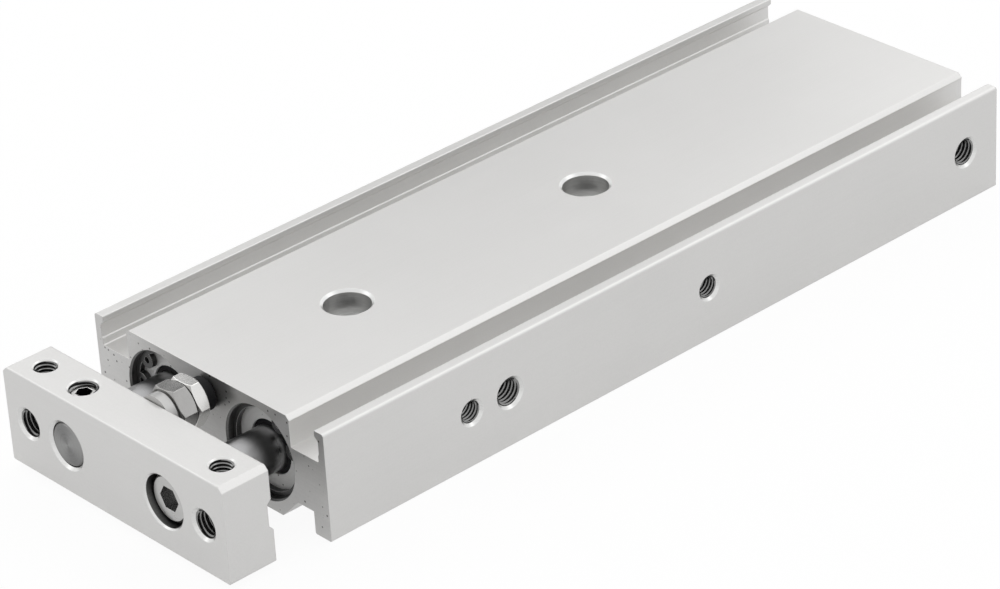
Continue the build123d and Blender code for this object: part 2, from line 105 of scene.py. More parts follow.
for name, look in lamps.items():
    placeLamp(name, look)


def addNode(tree, kind, settings=None, inputs=None):
    node = tree.nodes.new("ShaderNode" + kind)
    for key, value in (settings or {}).items():
        setattr(node, key, value)
    for key, value in (inputs or {}).items():
        if isinstance(value, bpy.types.NodeSocket):
            tree.links.new(value, node.inputs[key])
        else:
            node.inputs[key].default_value = value
    return node


def mathNode(tree, operation, first, second=None, third=None):
    node = addNode(tree, "Math", {"operation": operation})
    for index, value in enumerate((first, second, third)):
        if isinstance(value, bpy.types.NodeSocket):
            tree.links.new(value, node.inputs[index])
        elif value is not None:
            node.inputs[index].default_value = value
    return node.outputs[0]


def seenRay(tree, camera, glossy):
    # weight of rays that show the background: straight from the camera, or by way of metal
    path = addNode(tree, "LightPath")
    weight = mathNode(tree, "MULTIPLY", path.outputs["Is Camera Ray"], camera)
    weight = mathNode(tree, "MULTIPLY_ADD", path.outputs["Is Glossy Ray"], glossy, weight)
    weight = mathNode(tree, "MULTIPLY_ADD", path.outputs["Is Transmission Ray"], glossy, weight)
    return mathNode(tree, "MINIMUM", weight, 1.0)


surroundings = {
    "ambient": 0.60,        # strength that lights the object
    "seen": 1.0,            # strength of the white behind it
    "glossy": 0.78,         # share of that white that metal shows
    "floorHalf": 1.2,       # m
    "floorDrop": 0.00003,   # m below the object
    "floorCuts": 8,
    "floorColor": (0.80, 0.80, 0.80, 1),
    "floorCamera": 0.86,    # share of plain white the camera sees on the floor, the rest is lit
    "floorGlossy": 0.42,
    "floorWhite": 1.06,
}


squareCorners = ((-1, -1), (1, -1), (1, 1), (-1, 1))


def buildWorld(look):
    world = bpy.data.worlds.new("studioWorld")
    bpy.context.scene.world = world
    world.use_nodes = True
    tree = world.node_tree
    tree.nodes.clear()
    lit = addNode(tree, "Background", inputs={"Color": (1, 1, 1, 1), "Strength": look["ambient"]})
    seen = addNode(tree, "Background", inputs={"Color": (1, 1, 1, 1), "Strength": look["seen"]})
    mix = addNode(tree, "MixShader", inputs={0: seenRay(tree, 1.0, look["glossy"])})
    out = addNode(tree, "OutputWorld")
    tree.links.new(lit.outputs[0], mix.inputs[1])
    tree.links.new(seen.outputs[0], mix.inputs[2])
    tree.links.new(mix.outputs[0], out.inputs["Surface"])


def buildFloor(look):
    half = look["floorHalf"]
    work = bmesh.new()
    corners = [work.verts.new((x * half, y * half, -look["floorDrop"])) for x, y in squareCorners]
    work.faces.new(corners)
    bmesh.ops.subdivide_edges(work, edges=work.edges[:], cuts=look["floorCuts"], use_grid_fill=True)
    mesh = bpy.data.meshes.new("paleFloor")
    work.to_mesh(mesh)
    work.free()
    floor = bpy.data.objects.new("paleFloor", mesh)
    bpy.context.collection.objects.link(floor)
    material = bpy.data.materials.new("palePaper")
    material.use_nodes = True
    tree = material.node_tree
    tree.nodes.clear()
    paper = addNode(tree, "BsdfDiffuse", inputs={"Color": look["floorColor"]})
    white = addNode(tree, "Emission", inputs={"Color": (1, 1, 1, 1), "Strength": look["floorWhite"]})
    seen = seenRay(tree, look["floorCamera"], look["floorGlossy"])
    mix = addNode(tree, "MixShader", inputs={0: seen})
    out = addNode(tree, "OutputMaterial")
    tree.links.new(paper.outputs[0], mix.inputs[1])
    tree.links.new(white.outputs[0], mix.inputs[2])
    tree.links.new(mix.outputs[0], out.inputs["Surface"])
    mesh.materials.append(material)


darkCard = {
    # direction from the object, distance and half sizes in metres
    "from": (-0.70, 0.575, 0.41), "distance": 0.75, "half": (0.16, 0.12),
    "color": (0.03, 0.03, 0.03, 1),
}


def buildDarkCard(look):
    # seen only in metal: it greys the upward faces of nut, rods and screws
    direction = Vector(look["from"]).normalized()
    wide, high = look["half"]
    mesh = bpy.data.meshes.new("darkCard")
    mesh.from_pydata([(x * wide, y * high, 0) for x, y in squareCorners], [], [(0, 1, 2, 3)])
    card = bpy.data.objects.new("darkCard", mesh)
    card.location = direction * look["distance"]
    card.rotation_euler = direction.to_track_quat("Z", "Y").to_euler()
    card.visible_camera = card.visible_diffuse = card.visible_shadow = False
    bpy.context.collection.objects.link(card)
    material = bpy.data.materials.new("darkCard")
    material.use_nodes = True
    tree = material.node_tree
    tree.nodes.clear()
    cloth = addNode(tree, "BsdfDiffuse", inputs={"Color": look["color"]})
    out = addNode(tree, "OutputMaterial")
    tree.links.new(cloth.outputs[0], out.inputs["Surface"])
    mesh.materials.append(material)


buildWorld(surroundings)
buildFloor(surroundings)
buildDarkCard(darkCard)
print("camera, floor and lamps placed")


# shader groups
def newGroup(name, inputs, outputs):
    group = bpy.data.node_groups.new(name, "ShaderNodeTree")
    for label, kind, value in inputs:
        socket = group.interface.new_socket(label, in_out="INPUT", socket_type="NodeSocket" + kind)
        socket.default_value = value
    for label, kind in outputs:
        group.interface.new_socket(label, in_out="OUTPUT", socket_type="NodeSocket" + kind)
    return group, group.nodes.new("NodeGroupInput"), group.nodes.new("NodeGroupOutput")


def buildBlastedGrain():
    # even matte grain of a blasted and anodised surface, with broad faint clouds
    group, given, result = newGroup(
        "blastedGrain",
        [("Grain Scale", "Float", 4200.0), ("Cloud Scale", "Float", 45.0)],
        [("Grain", "Float"), ("Cloud", "Float")])
    place = addNode(group, "TexCoord").outputs["Object"]
    grain = addNode(group, "TexNoise", inputs={
        "Vector": place, "Scale": given.outputs["Grain Scale"], "Detail": 3.0, "Roughness": 0.62})
    cloud = addNode(group, "TexNoise", inputs={
        "Vector": place, "Scale": given.outputs["Cloud Scale"], "Detail": 3.0, "Roughness": 0.5})
    group.links.new(grain.outputs["Fac"], result.inputs["Grain"])
    group.links.new(cloud.outputs["Fac"], result.inputs["Cloud"])
    return group


def buildCutterMarks():
    # marks drawn out along one direction, as a cutter or an extrusion die leaves them
    group, given, result = newGroup(
        "cutterMarks",
        [("Stretch", "Vector", (60.0, 2500.0, 2500.0)), ("Amount", "Float", 1.0)],
        [("Marks", "Float")])
    place = addNode(group, "TexCoord").outputs["Object"]
    spread = addNode(group, "VectorMath", {"operation": "MULTIPLY"},
                     {0: place, 1: given.outputs["Stretch"]})
    marks = addNode(group, "TexNoise", inputs={
        "Vector": spread.outputs[0], "Scale": 1.0, "Detail": 4.0, "Roughness": 0.6})
    centred = mathNode(group, "SUBTRACT", marks.outputs["Fac"], 0.5)
    scaled = mathNode(group, "MULTIPLY_ADD", centred, given.outputs["Amount"], 0.5)
    group.links.new(scaled, result.inputs["Marks"])
    return group


def buildTurnedRings():
    # fine rings about an axis that runs along Y, as a lathe leaves them on an end face, and a painted
    # two-leaved sheen across them
    group, given, result = newGroup(
        "turnedRings",
        [("Centre", "Vector", (0.0, 0.0, 0.0)), ("Pitch", "Float", 0.00022)],
        [("Rings", "Float"), ("Painted Sheen", "Float")])
    place = addNode(group, "TexCoord").outputs["Object"]
    offset = addNode(group, "VectorMath", {"operation": "SUBTRACT"},
                     {0: place, 1: given.outputs["Centre"]})
    flat = addNode(group, "VectorMath", {"operation": "MULTIPLY"},
                   {0: offset.outputs[0], 1: (1.0, 0.0, 1.0)})
    radius = addNode(group, "VectorMath", {"operation": "LENGTH"}, {0: flat.outputs[0]})
    turns = mathNode(group, "DIVIDE", radius.outputs["Value"], given.outputs["Pitch"])
    uneven = addNode(group, "TexNoise", {"noise_dimensions": "1D"},
                     {"W": turns, "Scale": 0.7, "Detail": 3.0})
    wave = mathNode(group, "SINE", mathNode(group, "MULTIPLY", turns, 2 * math.pi))
    rings = mathNode(group, "MULTIPLY_ADD", wave, 0.25, uneven.outputs["Fac"])
    parts = addNode(group, "SeparateXYZ", inputs={0: flat.outputs[0]})
    # painted sheen: two opposite sectors round the axis are lighter
    angle = mathNode(group, "ARCTAN2", parts.outputs["Z"], parts.outputs["X"])
    paintedSheen = mathNode(group, "SINE", mathNode(group, "MULTIPLY_ADD", angle, 2.0, 0.6))
    paintedSheen = mathNode(group, "MULTIPLY_ADD", paintedSheen, 0.5, 0.5)
    group.links.new(rings, result.inputs["Rings"])
    group.links.new(paintedSheen, result.inputs["Painted Sheen"])
    return group


def buildEdgeBreak():
    # broken edges: a rounded normal, and a mask that is 1 on the outer corners; the materials lighten
    # their colour by the mask, wear and a painted edge highlight together
    group, given, result = newGroup(
        "edgeBreak", [("Radius", "Float", 0.00012)], [("Edge", "Float"), ("Normal", "Vector")])
    bevel = addNode(group, "Bevel", {"samples": 6}, {"Radius": given.outputs["Radius"]})
    plain = addNode(group, "NewGeometry").outputs["Normal"]
    match = addNode(group, "VectorMath", {"operation": "DOT_PRODUCT"},
                    {0: bevel.outputs["Normal"], 1: plain})
    edge = addNode(group, "MapRange", inputs={
        "Value": match.outputs["Value"], "From Min": 0.995, "From Max": 0.85})
    group.links.new(edge.outputs["Result"], result.inputs["Edge"])
    group.links.new(bevel.outputs["Normal"], result.inputs["Normal"])
    return group


def buildSmallPits():
    # scattered round pits: 1 in a pit, 0 between them
    group, given, result = newGroup(
        "smallPits", [("Scale", "Float", 420.0), ("Size", "Float", 0.1)], [("Pits", "Float")])
    place = addNode(group, "TexCoord").outputs["Object"]
    cells = addNode(group, "TexVoronoi", inputs={"Vector": place, "Scale": given.outputs["Scale"]})
    pits = addNode(group, "MapRange", inputs={
        "Value": cells.outputs["Distance"], "From Min": given.outputs["Size"],
        "From Max": mathNode(group, "MULTIPLY", given.outputs["Size"], 0.5)})
    group.links.new(pits.outputs["Result"], result.inputs["Pits"])
    return group


groups = {
    "grain": buildBlastedGrain(),
    "pits": buildSmallPits(),
    "marks": buildCutterMarks(),
    "rings": buildTurnedRings(),
    "edge": buildEdgeBreak(),
}
print("shader groups built")


# materials
surfaces = {
    # scales of grain and cloud per metre, height of the bump in metres, and its strength
    "skin": {"grain": 3600.0, "cloud": 38.0, "height": 0.00002, "bump": 0.22},
    "milled": {"grain": 2600.0, "cloud": 120.0, "height": 0.00002, "bump": 0.25},
    "cut": {"grain": 3000.0, "cloud": 200.0, "height": 0.00001, "bump": 0.20},
    "chrome": {"grain": 5200.0, "cloud": 90.0, "height": 0.000004, "bump": 0.15},
    "turned": {"grain": 3800.0, "cloud": 160.0, "height": 0.000008, "bump": 0.30},
    "plated": {"grain": 1500.0, "cloud": 260.0, "height": 0.00003, "bump": 0.25},
    "blacked": {"grain": 2400.0, "cloud": 300.0, "height": 0.00002, "bump": 0.30},
    "rubber": {"grain": 2000.0, "cloud": 240.0, "height": 0.00003, "bump": 0.30},
}


def placeGroup(tree, key, inputs):
    node = tree.nodes.new("ShaderNodeGroup")
    node.node_tree = groups[key]
    for label, value in inputs.items():
        node.inputs[label].default_value = value
    return node


def placeGrain(tree, surface):
    return placeGroup(tree, "grain", {"Grain Scale": surface["grain"], "Cloud Scale": surface["cloud"]})


def placeMarks(tree, stretch, amount):
    return placeGroup(tree, "marks", {"Stretch": stretch, "Amount": amount})


def placeEdge(tree, radius):
    return placeGroup(tree, "edge", {"Radius": radius})


def placePits(tree, look):
    node = placeGroup(tree, "pits", {"Scale": look["pitScale"], "Size": look["pitSize"]})
    return node.outputs["Pits"]


def startMaterial(name, fixed):
    material = bpy.data.materials.new(name)
    material.use_nodes = True
    tree = material.node_tree
    shader = tree.nodes["Principled BSDF"]
    for label, value in fixed.items():
        shader.inputs[label].default_value = value
    return material, tree, shader


def colorBetween(tree, factor, dark, light):
    mix = addNode(tree, "Mix", {"data_type": "RGBA"})
    tree.links.new(factor, mix.inputs["Factor"])
    mix.inputs["A"].default_value = (*dark, 1)
    mix.inputs["B"].default_value = (*light, 1)
    return mix.outputs["Result"]


def colorOver(tree, color, mask, cover):
    mix = addNode(tree, "Mix", {"data_type": "RGBA"})
    tree.links.new(mask, mix.inputs["Factor"])
    tree.links.new(color, mix.inputs["A"])
    mix.inputs["B"].default_value = (*cover, 1)
    return mix.outputs["Result"]


def valueBetween(tree, factor, low, high):
    return addNode(tree, "MapRange", {"clamp": True}, {
        "Value": factor, "To Min": low, "To Max": high}).outputs["Result"]


def sumOf(tree, *weighted):
    total = 0.0
    for socket, weight in weighted:
        total = mathNode(tree, "MULTIPLY_ADD", socket, weight, total)
    return total


def finishMaterial(tree, shader, color, roughness, height, surface, normal=None):
    bump = addNode(tree, "Bump", inputs={
        "Height": height, "Distance": surface["height"], "Strength": surface["bump"]})
    if normal is not None:
        tree.links.new(normal, bump.inputs["Normal"])
    tree.links.new(color, shader.inputs["Base Color"])
    tree.links.new(roughness, shader.inputs["Roughness"])
    tree.links.new(bump.outputs["Normal"], shader.inputs["Normal"])


anodised = {
    "dark": (0.70, 0.695, 0.685), "light": (0.85, 0.845, 0.835), "edge": 0.10,
    "roughLow": 0.38, "roughHigh": 0.52, "metallic": 0.9, "edgeRadius": 0.00022,
}
channelPaintedLight = {
    # the walls of the switch channels: a lighter copy of the anodised skin, painted light on walls that
    # the channel shades
    **anodised, "dark": (0.75, 0.745, 0.735), "light": (0.89, 0.884, 0.875),
}


def anodisedAluminium(name, look, stretch):
    # blasted and clear anodised skin, with the faint lines of the die or the cutter
    surface = surfaces["skin"]
    material, tree, shader = startMaterial(name, {"Metallic": look["metallic"], "IOR": 1.6})
    grain = placeGrain(tree, surface)
    marks = placeMarks(tree, stretch, 1.0)
    edge = placeEdge(tree, look["edgeRadius"])
    tone = sumOf(tree, (grain.outputs["Grain"], 0.45), (grain.outputs["Cloud"], 0.35),
                 (marks.outputs["Marks"], 0.2), (edge.outputs["Edge"], look["edge"]))
    color = colorBetween(tree, tone, look["dark"], look["light"])
    uneven = sumOf(tree, (grain.outputs["Grain"], 0.7), (marks.outputs["Marks"], 0.3))
    roughness = valueBetween(tree, uneven, look["roughLow"], look["roughHigh"])
    height = sumOf(tree, (grain.outputs["Grain"], 1.0), (marks.outputs["Marks"], 0.25))
    finishMaterial(tree, shader, color, roughness, height, surface, edge.outputs["Normal"])
    return material


milledEnd = {
    "dark": (0.50, 0.497, 0.49), "light": (0.78, 0.775, 0.765), "roughLow": 0.28, "roughHigh": 0.45,
    "pit": (0.08, 0.078, 0.075), "pitScale": 720.0, "pitSize": 0.17,
    "stretch": (220.0, 220.0, 5200.0), "edgeRadius": 0.00012,
}


def milledAluminium(name, look):
    # sawn and milled ends of the extrusion, greyer than the skin, with small pits
    surface = surfaces["milled"]
    material, tree, shader = startMaterial(name, {"Metallic": 0.95})
    grain = placeGrain(tree, surface)
    marks = placeMarks(tree, look["stretch"], 1.3)
    edge = placeEdge(tree, look["edgeRadius"])
    tone = sumOf(tree, (grain.outputs["Cloud"], 0.35), (marks.outputs["Marks"], 0.35),
                 (grain.outputs["Grain"], 0.3), (edge.outputs["Edge"], 0.5))
    color = colorBetween(tree, tone, look["dark"], look["light"])
    pits = placePits(tree, look)
    pitted = colorOver(tree, color, pits, look["pit"])
    roughness = valueBetween(tree, marks.outputs["Marks"], look["roughLow"], look["roughHigh"])
    height = sumOf(tree, (marks.outputs["Marks"], 1.0), (grain.outputs["Grain"], 0.5), (pits, -1.5))
    finishMaterial(tree, shader, pitted, roughness, height, surface, edge.outputs["Normal"])
    return material


cutHole = {
    "dark": (0.44, 0.44, 0.435), "light": (0.95, 0.95, 0.94),
    "roughLow": 0.30, "roughHigh": 0.42,
}
cutRim = {
    "dark": (0.66, 0.66, 0.65), "light": (0.96, 0.96, 0.95),
    "roughLow": 0.22, "roughHigh": 0.40,
}
# thread turns darkened as painted shade in the holes, darkest in the roots
threadCrestPaintedShade = {
    "dark": (0.15, 0.15, 0.149), "light": (0.46, 0.46, 0.455),
    "roughLow": 0.14, "roughHigh": 0.24,
}
threadRootPaintedShade = {
    "dark": (0.015, 0.015, 0.015), "light": (0.06, 0.06, 0.06),
    "roughLow": 0.34, "roughHigh": 0.48,
}
# walls of the rod bores and of the plate's holes, darkened: painted shade inside them
holeWallPaintedShade = {
    "dark": (0.08, 0.08, 0.079), "light": (0.30, 0.30, 0.297),
    "roughLow": 0.25, "roughHigh": 0.40,
}


def brightCut(name, look, stretch):
    # bare metal in drilled, bored and threaded holes and on their chamfers; its darker copies are
    # painted shade inside bores, hole walls and threads
    surface = surfaces["cut"]
    material, tree, shader = startMaterial(name, {"Metallic": 1.0})
    grain = placeGrain(tree, surface)
    marks = placeMarks(tree, stretch, 1.2)
    edge = placeEdge(tree, 0.00008)
    tone = sumOf(tree, (marks.outputs["Marks"], 0.5), (grain.outputs["Cloud"], 0.4),
                 (edge.outputs["Edge"], 0.3))
    color = colorBetween(tree, tone, look["dark"], look["light"])
    roughness = valueBetween(tree, marks.outputs["Marks"], look["roughLow"], look["roughHigh"])
    height = sumOf(tree, (marks.outputs["Marks"], 1.0), (grain.outputs["Grain"], 0.3))
    finishMaterial(tree, shader, color, roughness, height, surface, edge.outputs["Normal"])
    return material


hardChrome = {
    "dark": (0.34, 0.34, 0.345), "light": (0.44, 0.44, 0.445),
    "roughLow": 0.24, "roughHigh": 0.32,
}


def chromedSteel(name, look, stretch):
    # ground and hard chromed rod, with the faintest grinding marks round it
    surface = surfaces["chrome"]
    material, tree, shader = startMaterial(name, {"Metallic": 1.0})
    marks = placeMarks(tree, stretch, 1.0)
    grain = placeGrain(tree, surface)
    tone = sumOf(tree, (marks.outputs["Marks"], 0.5), (grain.outputs["Cloud"], 0.5))
    color = colorBetween(tree, tone, look["dark"], look["light"])
    roughness = valueBetween(tree, tone, look["roughLow"], look["roughHigh"])
    finishMaterial(tree, shader, color, roughness, marks.outputs["Marks"], surface)
    return material


turnedEnd = {
    "dark": (0.14, 0.14, 0.14), "light": (0.42, 0.42, 0.415),
    "roughLow": 0.25, "roughHigh": 0.42,
}


def turnedFace(name, look, centre, pitch, metallic=1.0):
    # end face off the lathe: fine rings, and the two-leaved sheen that goes with them, painted into the
    # colour
    surface = surfaces["turned"]
    material, tree, shader = startMaterial(name, {"Metallic": metallic})
    rings = placeGroup(tree, "rings", {"Centre": [c * mm for c in centre], "Pitch": pitch * mm})
    grain = placeGrain(tree, surface)
    edge = placeEdge(tree, 0.0001)
    tone = sumOf(tree, (rings.outputs["Rings"], 0.35), (rings.outputs["Painted Sheen"], 0.4),
                 (grain.outputs["Grain"], 0.2), (edge.outputs["Edge"], 0.4))
    color = colorBetween(tree, tone, look["dark"], look["light"])
    if "pit" in look:
        color = colorOver(tree, color, placePits(tree, look), look["pit"])
    roughness = valueBetween(tree, rings.outputs["Rings"], look["roughLow"], look["roughHigh"])
    height = sumOf(tree, (rings.outputs["Rings"], 1.0), (grain.outputs["Grain"], 0.3))
    finishMaterial(tree, shader, color, roughness, height, surface, edge.outputs["Normal"])
    return material


nickelSteel = {
    "dark": (0.74, 0.735, 0.72), "light": (0.93, 0.925, 0.91),
    "roughLow": 0.16, "roughHigh": 0.30,
}
# the nut's copy of the plated finish, darker: painted shade
nutShadedSteel = {
    "dark": (0.34, 0.337, 0.33), "light": (0.50, 0.496, 0.488),
    "roughLow": 0.18, "roughHigh": 0.32,
}
capSteel = {
    "dark": (0.50, 0.498, 0.49), "light": (0.76, 0.755, 0.745),
    "roughLow": 0.22, "roughHigh": 0.36,
}
washerSteel = {
    "dark": (0.42, 0.418, 0.412), "light": (0.60, 0.597, 0.59),
    "roughLow": 0.34, "roughHigh": 0.46,
}


def platedSteel(name, look, edgeRadius=0.00022):
    # bright plated screws, nut and washer, with slightly rolled corners; the nut's darker copy is
    # painted shade
    surface = surfaces["plated"]
    material, tree, shader = startMaterial(name, {"Metallic": 1.0})
    grain = placeGrain(tree, surface)
    edge = placeEdge(tree, edgeRadius)
    tone = sumOf(tree, (grain.outputs["Cloud"], 0.6), (grain.outputs["Grain"], 0.2),
                 (edge.outputs["Edge"], 0.4))
    color = colorBetween(tree, tone, look["dark"], look["light"])
    roughness = valueBetween(tree, grain.outputs["Cloud"], look["roughLow"], look["roughHigh"])
    height = sumOf(tree, (grain.outputs["Grain"], 0.4), (grain.outputs["Cloud"], 1.0))
    finishMaterial(tree, shader, color, roughness, height, surface, edge.outputs["Normal"])
    return material


# black of the port plugs, and the painted shade in the set screw's socket
blackAndSocketShade = {
    "dark": (0.012, 0.012, 0.013), "light": (0.045, 0.045, 0.048), "wearAndHighlight": (0.45, 0.45, 0.45),
    "roughLow": 0.22, "roughHigh": 0.42,
}
springFinish = {
    "dark": (0.04, 0.04, 0.04), "light": (0.12, 0.12, 0.119), "wearAndHighlight": (0.75, 0.75, 0.74),
    "roughLow": 0.25, "roughHigh": 0.40,
}
# the cap screw's socket, darker than the screw: painted shade in the socket
socketShadeFinish = {
    "dark": (0.26, 0.26, 0.26), "light": (0.42, 0.42, 0.415), "wearAndHighlight": (0.75, 0.75, 0.75),
    "roughLow": 0.20, "roughHigh": 0.34,
}


def blackedSteel(name, look, edgeRadius=0.0001):
    # blackened spring steel and port plugs, and the painted shade in screw sockets; lighter along the
    # corners, wear and a painted highlight together
    surface = surfaces["blacked"]
    material, tree, shader = startMaterial(name, {"Metallic": 0.85})
    grain = placeGrain(tree, surface)
    edge = placeEdge(tree, edgeRadius)
    color = colorBetween(tree, grain.outputs["Grain"], look["dark"], look["light"])
    # corners lightened: wear, and a painted edge highlight
    wearAndHighlight = colorOver(tree, color, mathNode(tree, "MULTIPLY", edge.outputs["Edge"], 0.8), look["wearAndHighlight"])
    height = grain.outputs["Grain"]
    roughness = valueBetween(tree, height, look["roughLow"], look["roughHigh"])
    finishMaterial(tree, shader, wearAndHighlight, roughness, height, surface, edge.outputs["Normal"])
    return material


rubber = {
    "dark": (0.004, 0.004, 0.005), "light": (0.014, 0.014, 0.015),
    "roughLow": 0.60, "roughHigh": 0.78,
}


def blackRubber(name, look, edgeRadius=0.0002):
    # moulded black seals and pads, dull
    surface = surfaces["rubber"]
    material, tree, shader = startMaterial(name, {"Metallic": 0.0, "Specular IOR Level": 0.25})
    grain = placeGrain(tree, surface)
    edge = placeEdge(tree, edgeRadius)
    color = colorBetween(tree, grain.outputs["Cloud"], look["dark"], look["light"])
    height = grain.outputs["Grain"]
    roughness = valueBetween(tree, height, look["roughLow"], look["roughHigh"])
    finishMaterial(tree, shader, color, roughness, height, surface, edge.outputs["Normal"])
    return material


rodHeight = 10.0                        # mm
rodX = {"left": -12.5, "right": 12.5}   # mm
# how far marks are drawn out along each axis: the smaller number is the longer way
alongHousing = (2600.0, 30.0, 2600.0)
alongPlate = (40.0, 2600.0, 2600.0)
roundHole = (300.0, 300.0, 5200.0)
roundRod = (150.0, 9000.0, 150.0)
rodEndPitch, coverPitch = 0.24, 0.3   # mm

finishes = {
    "housingSkin": anodisedAluminium("housingSkin", anodised, alongHousing),
    "plateSkin": anodisedAluminium("plateSkin", anodised, alongPlate),
    # lighter copy of the skin for the channel walls: painted light
    "channelSkinPaintedLight": anodisedAluminium("channelSkinPaintedLight", channelPaintedLight, alongHousing),
    "housingEnd": milledAluminium("housingEnd", milledEnd),
    "cutHole": brightCut("cutHole", cutHole, roundHole),
    "cutRim": brightCut("cutRim", cutRim, roundHole),
    "threadCrestPaintedShade": brightCut("threadCrestPaintedShade", threadCrestPaintedShade, roundHole),
    "threadRootPaintedShade": brightCut("threadRootPaintedShade", threadRootPaintedShade, roundHole),
    "holeWallPaintedShade": brightCut("holeWallPaintedShade", holeWallPaintedShade, roundHole),
    "rodChrome": chromedSteel("rodChrome", hardChrome, roundRod),
    "rodEnd": turnedFace("rodEnd", turnedEnd, (rodX["left"], 0, rodHeight), rodEndPitch),
    "nickel": platedSteel("nickel", nickelSteel),
    "nutNickelShaded": platedSteel("nutNickelShaded", nutShadedSteel),
    "washerNickel": platedSteel("washerNickel", washerSteel, 0.0001),
    "screwSteel": platedSteel("screwSteel", capSteel, 0.00015),
    "springSteel": blackedSteel("springSteel", springFinish),
    "plugBlackAndSocketShade": blackedSteel("plugBlackAndSocketShade", blackAndSocketShade, 0.00008),
    "socketPaintedShade": blackedSteel("socketPaintedShade", socketShadeFinish, 0.00008),
    "padRubber": blackRubber("padRubber", rubber),
    "sealRubber": blackRubber("sealRubber", rubber, 0.0001),
}
coverFace = {
    "dark": (0.82, 0.82, 0.81), "light": (0.97, 0.965, 0.955), "roughLow": 0.35, "roughHigh": 0.5,
    "pit": (0.15, 0.15, 0.147), "pitScale": 700.0, "pitSize": 0.15, "metallic": 0.15,
}
for side, x in rodX.items():
    finish = "coverFace_" + side
    centre = (x, 0, rodHeight)
    finishes[finish] = turnedFace(finish, coverFace, centre, coverPitch, coverFace["metallic"])
print("materials built:", len(finishes))


# finishes of the CAD nodes
housingHoles = {
    # centre in mm, axis, rim radius in mm
    "mountFront": ((0, -27.5, 0), "Z", 4.55),
    "mountRear": ((0, 27.5, 0), "Z", 4.55),
    "sideThreadFront": ((0, -26.8, 10), "X", 2.5),
    "sideThreadRear": ((0, 28.2, 10), "X", 2.5),
    "portFront": ((0, -18.3, 10), "X", 3.0),
    "portRear": ((0, 93.75, 10), "X", 3.0),
}
bores = {
    "boreLeft": ((-12.5, 0, 10), "Y", 8.76),
    "boreRight": ((12.5, 0, 10), "Y", 8.76),
}
plateHoles = {
    "frontThreadLeft": ((-22.5, 0, 10), "Y", 3.0),
    "frontThreadRight": ((22.5, 0, 10), "Y", 3.0),
    "rodHole": ((-12.5, 0, 10), "Y", 4.6),
    "screwHole": ((12.5, 0, 10), "Y", 5.0),
    "topThreadLeft": ((-22.5, -73.3, 0), "Z", 2.25),
    "topThreadRight": ((22.5, -73.3, 0), "Z", 2.25),
    "setScrewHole": ((-12.5, -73.3, 0), "Z", 2.75),
    "bumperThread": ((0, 0, 16.4), "Y", 2.02),
}
screws = {
    # finish of the screw, of its socket, a darker one as painted shade, and the socket as a hole
    "plate_cap_screw": ("screwSteel", "socketPaintedShade", ((12.5, 0, 10), "Y", 2.4)),
    "plate_set_screw": ("nickel", "plugBlackAndSocketShade", ((-12.5, -73.3, 0), "Z", 1.5)),
}


faceRules = {
    "rimOver": 0.02,              # mm past the rim that still counts as the hole
    "chamfer": (0.3, 0.95),       # slope to the axis between which a face is a chamfer
    "end": 0.99,                  # slope along Y from which a face is a milled end
    "wall": 0.95,                 # slope along X from which a face is a channel wall
    "rodEnd": -0.5,               # slope along Y below which a face is the rod's front end
}


def facesInHoles(mesh, holes):
    # a face belongs to a hole when all its corners lie within the rim
    # each face comes with the slope of its normal to the hole's axis
    found = {}
    for centre, axis, radius in holes.values():
        along = "XYZ".index(axis)
        kept = [i for i in range(3) if i != along]
        reach = (radius + faceRules["rimOver"]) * mm
        inside = [math.hypot(*(v.co[i] - centre[i] * mm for i in kept)) < reach for v in mesh.vertices]
        found.update({p.index: abs(p.normal[along]) for p in mesh.polygons
                      if all(inside[v] for v in p.vertices)})
    return found


def dress(node, *materials):
    mesh = nodes[node].data
    mesh.materials.clear()
    for material in materials:
        mesh.materials.append(finishes[material])
    return mesh


def dressHoles(mesh, holes):
    # second material for the walls of the holes, third for their chamfers
    slopes = facesInHoles(mesh, holes)
    low, high = faceRules["chamfer"]
    for index, slope in slopes.items():
        mesh.polygons[index].material_index = 2 if low < slope < high else 1
    return slopes


channelWalls = {"from": 20.5, "to": 27.7, "floor": 14.3, "top": 18.2}   # |x| and height, mm


def isChannelWall(face, walls):
    place = face.center / mm
    return (abs(face.normal.x) > faceRules["wall"] and walls["from"] < abs(place.x) < walls["to"]
            and walls["floor"] < place.z < walls["top"])


housingFinishes = ("housingSkin", "cutHole", "cutRim", "housingEnd", "holeWallPaintedShade", "channelSkinPaintedLight")
endIndex, boreShadeIndex, wallPaintedLightIndex = (housingFinishes.index(finish) for finish in
                                  ("housingEnd", "holeWallPaintedShade", "channelSkinPaintedLight"))
housingMesh = dress("housing", *housingFinishes)
holeFaces = set(dressHoles(housingMesh, housingHoles))
for index in facesInHoles(housingMesh, bores):
    housingMesh.polygons[index].material_index = boreShadeIndex
    holeFaces.add(index)
for face in housingMesh.polygons:
    if face.index in holeFaces:
        continue
    if abs(face.normal.y) > faceRules["end"]:
        face.material_index = endIndex
    # channel walls take the lighter copy of the skin: painted light
    elif isChannelWall(face, channelWalls):
        face.material_index = wallPaintedLightIndex
dressHoles(dress("end_plate", "plateSkin", "holeWallPaintedShade", "cutRim"), plateHoles)

rodMesh = dress("piston_rod_left", "rodChrome", "rodEnd")
for face in rodMesh.polygons:
    face.material_index = 1 if face.normal.y < faceRules["rodEnd"] else 0

